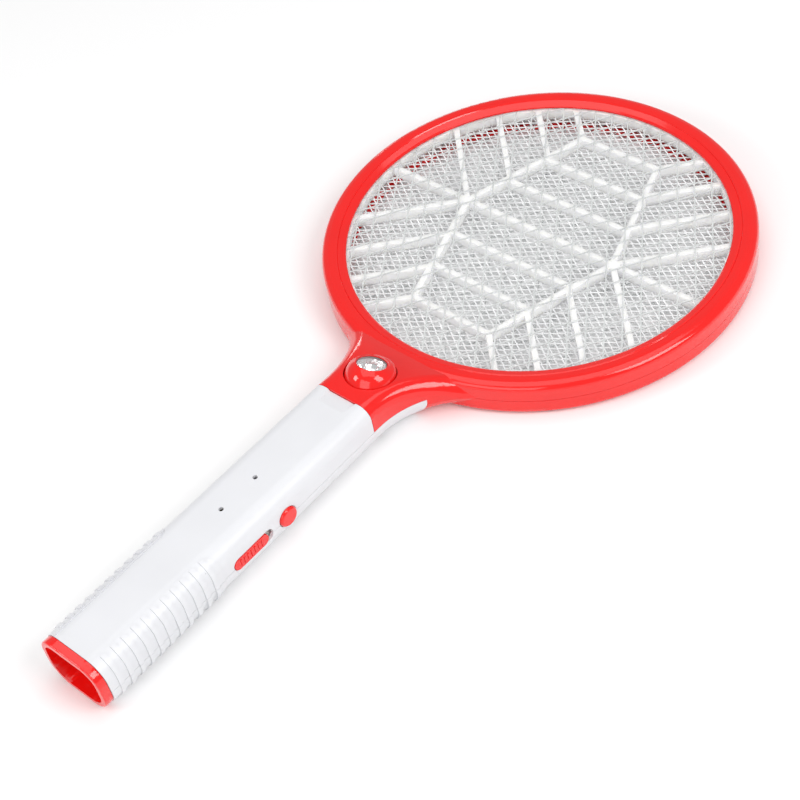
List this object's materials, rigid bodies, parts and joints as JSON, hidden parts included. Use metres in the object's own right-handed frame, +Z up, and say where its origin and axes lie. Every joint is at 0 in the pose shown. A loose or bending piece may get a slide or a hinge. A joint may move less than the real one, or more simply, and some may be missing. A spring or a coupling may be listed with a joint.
{
  "type": "electric fly swatter",
  "caption": "Hand-held electric mosquito swatter: round red head with grids over a white ribbed frame, lamp in the neck, white handle with slider and push button.",
  "frame": {"origin": "under the middle of the bounding box, on the surface the swatter lies on", "axes": "+Y from the handle towards the head, +Z up through the front face, +X to the side with the slider and button"},
  "size_m": [0.219, 0.43, 0.0332],
  "materials": {
    "red_gloss": "glossy moulded",
    "white_shell": "satin moulded",
    "white_frame": "smooth moulded",
    "grid_metal": "expanded metal",
    "silvered": "silvered",
    "clear_cover": "clear",
    "led_white": "clear epoxy",
    "led_red": "tinted epoxy",
    "black_plastic": "moulded",
    "board_green": "lacquered board",
    "ferrite": "pressed ferrite",
    "copper": "enamelled wire",
    "film_yellow": "dipped",
    "contact_metal": "plated",
    "battery_case": "moulded",
    "wire_red": "insulation",
    "wire_white": "insulation",
    "steel_screw": "zinc plated"
  },
  "bodies": {
    "swatter": {"front_frame": "red_gloss", "rear_rim": "red_gloss", "front_grid": "grid_metal", "centre_grid": "grid_metal", "rear_grid": "grid_metal", "front_spacer": "white_frame", "rear_spacer": "white_frame", "front_grid_tab": "contact_metal", "centre_grid_tab": "contact_metal", "rear_grid_tab": "contact_metal", "handle_top_shell": "white_shell", "handle_bottom_shell": "white_shell", "charging_inlet": "black_plastic", "charging_pins": "contact_metal", "lamp_dome": "red_gloss", "lamp_lens": "clear_cover", "lamp_reflector": "silvered", "lamp_led": "led_white", "lamp_board": "board_green", "push_switch": "black_plastic", "slide_switch": "steel_screw", "circuit_board": "board_green", "transformer_core": "ferrite", "transformer_winding": "copper", "storage_capacitor": "film_yellow", "doubler_capacitor": "film_yellow", "small_parts": "black_plastic", "charge_led": "led_red", "power_led": "led_red", "battery": "battery_case", "battery_contacts": "contact_metal", "battery_leads": "wire_red", "charging_leads": "wire_white", "lamp_leads": "wire_red", "grid_leads": "wire_white", "rim_screws": "steel_screw", "handle_screws": "steel_screw", "neck_screws": "steel_screw"},
    "button": {"zap_button": "red_gloss", "button_plunger": "black_plastic"},
    "slider": {"slider_knob": "red_gloss", "slider_carrier": "white_frame"},
    "cap": {"end_cap": "red_gloss"}
  },
  "joints": [
    {"name": "button_press", "type": "slide", "parent": "swatter", "child": "button", "axis": [-1, 0, 0], "range_m": [0, 0.0012], "stiffness_N_per_m": 600, "springref_m": -0.001},
    {"name": "slider_move", "type": "slide", "parent": "swatter", "child": "slider", "axis": [0, 1, 0], "range_m": [0, 0.003]},
    {"name": "cap_pull", "type": "slide", "parent": "swatter", "child": "cap", "axis": [0, -1, 0], "range_m": [0, 0.012]}
  ]
}
